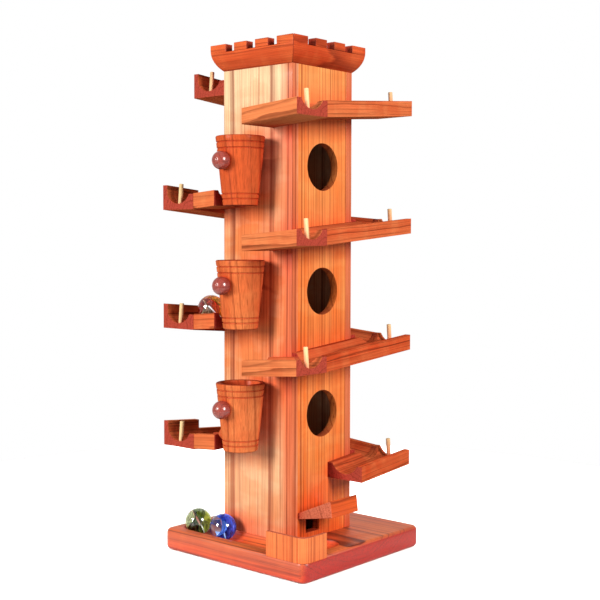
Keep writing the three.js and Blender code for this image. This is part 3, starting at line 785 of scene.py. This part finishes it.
def add_vane(name, centre, radius, tilt, turn, spread, draw):
    """A thin ribbon that runs from pole to pole inside the ball and twists on the way."""
    work = bmesh.new()
    rows = []
    wave = draw.uniform(0, math.tau)
    for i in range(VANE_STEPS + 1):
        t = 2 * i / VANE_STEPS - 1
        width = spread * radius * math.sqrt(max(1 - t * t, VANE_LEAST))
        height = VANE_REACH * radius * t
        row = []
        for j in range(VANE_WIDTH_STEPS + 1):
            s = j / VANE_WIDTH_STEPS
            angle = turn + VANE_TWIST * t + VANE_CURL * s * math.sin(VANE_WAVES * t + wave)
            reach = width * (VANE_START + (1 - VANE_START) * s)
            row.append(work.verts.new((reach * math.cos(angle), reach * math.sin(angle), height)))
        rows.append(row)
    for low, high in zip(rows, rows[1:]):
        for j in range(VANE_WIDTH_STEPS):
            work.faces.new((low[j], low[j + 1], high[j + 1], high[j]))
    bmesh.ops.solidify(work, geom=work.faces[:], thickness=VANE_THICKNESS)
    bmesh.ops.recalc_face_normals(work, faces=work.faces)
    bmesh.ops.transform(work, matrix=Matrix.Translation(centre) @ tilt, verts=work.verts)
    mesh = bpy.data.meshes.new(name)
    work.to_mesh(mesh)
    work.free()
    for polygon in mesh.polygons:
        polygon.use_smooth = True
    return new_object(name, mesh)


def add_marble(colour, seed):
    node = f"marble_{colour}"
    piece, radius = glass_ball(node)
    set_grain(piece, UPRIGHT, WOODS["peg"], seed)
    finished(piece, node, node, clear_glass(f"clear_{colour}", GLASSES[colour][0]))
    low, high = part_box(node)
    draw = random.Random(seed)
    tilt = (Matrix.Rotation(draw.uniform(*TILTS_X), 4, "X")
            @ Matrix.Rotation(draw.uniform(*TILTS_Y), 4, "Y"))
    colours = GLASSES[colour][1:]
    for k, tint in enumerate(colours):
        turn = math.tau * k / len(colours) + draw.uniform(-VANE_TURN_SPREAD, VANE_TURN_SPREAD)
        vane = add_vane(f"vane_{colour}_{k + 1}", (low + high) / 2, radius, tilt, turn,
                        draw.uniform(*VANE_WIDTHS), draw)
        set_grain(vane, UPRIGHT, WOODS["peg"], seed + k)
        vane.data.materials.append(vane_glass(f"vane_{colour}_{k + 1}", tint))
        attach(vane, node)


# --- Studio ---

TARGET = Vector((0, 0, 0.22))
WORLD_COLOUR = (1.0, 1.0, 1.0, 1.0)
WORLD_STRENGTH = 1.0
FLOOR_RADIUS = 0.55
FLOOR_SIDES = 128
FLOOR_THICKNESS = 5 * MM
FLOOR_GAP = 0.2 * MM
# The back light is hidden from reflections, where it would show as white glare.
SOFTBOXES = {
    "softbox_left": dict(towards=(-0.2, -0.96, 0.27), power=75, mirrored=True),
    "softbox_right": dict(towards=(0.99, -0.13, 0.36), power=75, mirrored=True),
    "softbox_back": dict(towards=(-0.62, 0.78, 0.38), power=50, mirrored=False),
}
SOFTBOX_DISTANCE = 1.5
SOFTBOX_SIZE = (0.45, 0.55)
SOFTBOX_COLOUR = (1.0, 0.97, 0.93)


def add_softbox(name, direction, power, mirrored):
    light = bpy.data.lights.new(name, "AREA")
    light.shape = "RECTANGLE"
    light.size, light.size_y = SOFTBOX_SIZE
    light.energy = power
    light.color = SOFTBOX_COLOUR
    box = new_object(name, light)
    box.visible_glossy = mirrored
    towards = Vector(direction).normalized()
    box.location = TARGET + towards * SOFTBOX_DISTANCE
    box.rotation_euler = towards.to_track_quat("Z", "Y").to_euler()


def add_studio():
    world = bpy.data.worlds.new("studio")
    bpy.context.scene.world = world
    world.use_nodes = True
    background = world.node_tree.nodes["Background"]
    background.inputs["Color"].default_value = WORLD_COLOUR
    background.inputs["Strength"].default_value = WORLD_STRENGTH
    floor = lathe("floor", [(0, -FLOOR_THICKNESS), (FLOOR_RADIUS, -FLOOR_THICKNESS),
                            (FLOOR_RADIUS, -FLOOR_GAP), (0, -FLOOR_GAP)], FLOOR_SIDES, Matrix())
    floor.data.set_sharp_from_angle(angle=SHARP_ANGLE)
    floor.data.materials.append(floor_material())
    for name, box in SOFTBOXES.items():
        add_softbox(name, box["towards"], box["power"], box["mirrored"])


CAMERA_AZIMUTH = math.radians(41.459)
CAMERA_DISTANCE = 1.0579
CAMERA_HEIGHT = 0.2923
CAMERA_PITCH = math.radians(3.102)
CAMERA_ROLL = math.radians(0.104)
SENSOR_WIDTH_MM = 36
FOCAL_LENGTH_MM = 67.82
SHIFT_X = 0.0203


def add_camera():
    data = bpy.data.cameras.new("camera")
    data.sensor_width = SENSOR_WIDTH_MM
    data.lens = FOCAL_LENGTH_MM
    data.shift_x = SHIFT_X
    camera = new_object("camera", data)
    aim = (Matrix.Rotation(CAMERA_AZIMUTH, 4, "Z")
           @ Matrix.Rotation(math.pi / 2 - CAMERA_PITCH, 4, "X")
           @ Matrix.Rotation(CAMERA_ROLL, 4, "Z"))
    place = Matrix.Translation((
        CAMERA_DISTANCE * math.sin(CAMERA_AZIMUTH),
        -CAMERA_DISTANCE * math.cos(CAMERA_AZIMUTH), CAMERA_HEIGHT,
    ))
    camera.matrix_world = place @ aim
    bpy.context.scene.camera = camera
    bpy.context.scene.view_settings.view_transform = "Standard"


# --- The whole scene ---

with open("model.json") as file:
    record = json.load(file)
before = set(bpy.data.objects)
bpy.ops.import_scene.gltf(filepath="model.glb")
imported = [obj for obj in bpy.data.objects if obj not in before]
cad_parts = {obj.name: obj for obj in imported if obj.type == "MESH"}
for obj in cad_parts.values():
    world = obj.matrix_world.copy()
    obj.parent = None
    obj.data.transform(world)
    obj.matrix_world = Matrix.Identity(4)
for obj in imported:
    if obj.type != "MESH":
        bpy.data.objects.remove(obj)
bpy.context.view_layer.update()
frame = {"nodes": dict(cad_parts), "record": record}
SLOTS = {part["node"]: part["material_slot"] for part in frame["record"]["subparts"]}
MATERIALS = {name: wood_material(f"wood_{name}", wood) for name, wood in WOODS.items()}

add_boards()
for seed, node in enumerate(sorted(SLOTS)):
    if node.startswith(("peg", "axle")):
        add_dowel(node, DOWEL_SEED + seed)
for number in (1, 2, 3):
    add_bucket(number)
    add_knob(number)
for seed, colour in enumerate(GLASSES):
    add_marble(colour, MARBLE_SEED + MARBLE_SEED_STEP * seed)
add_studio()
add_camera()
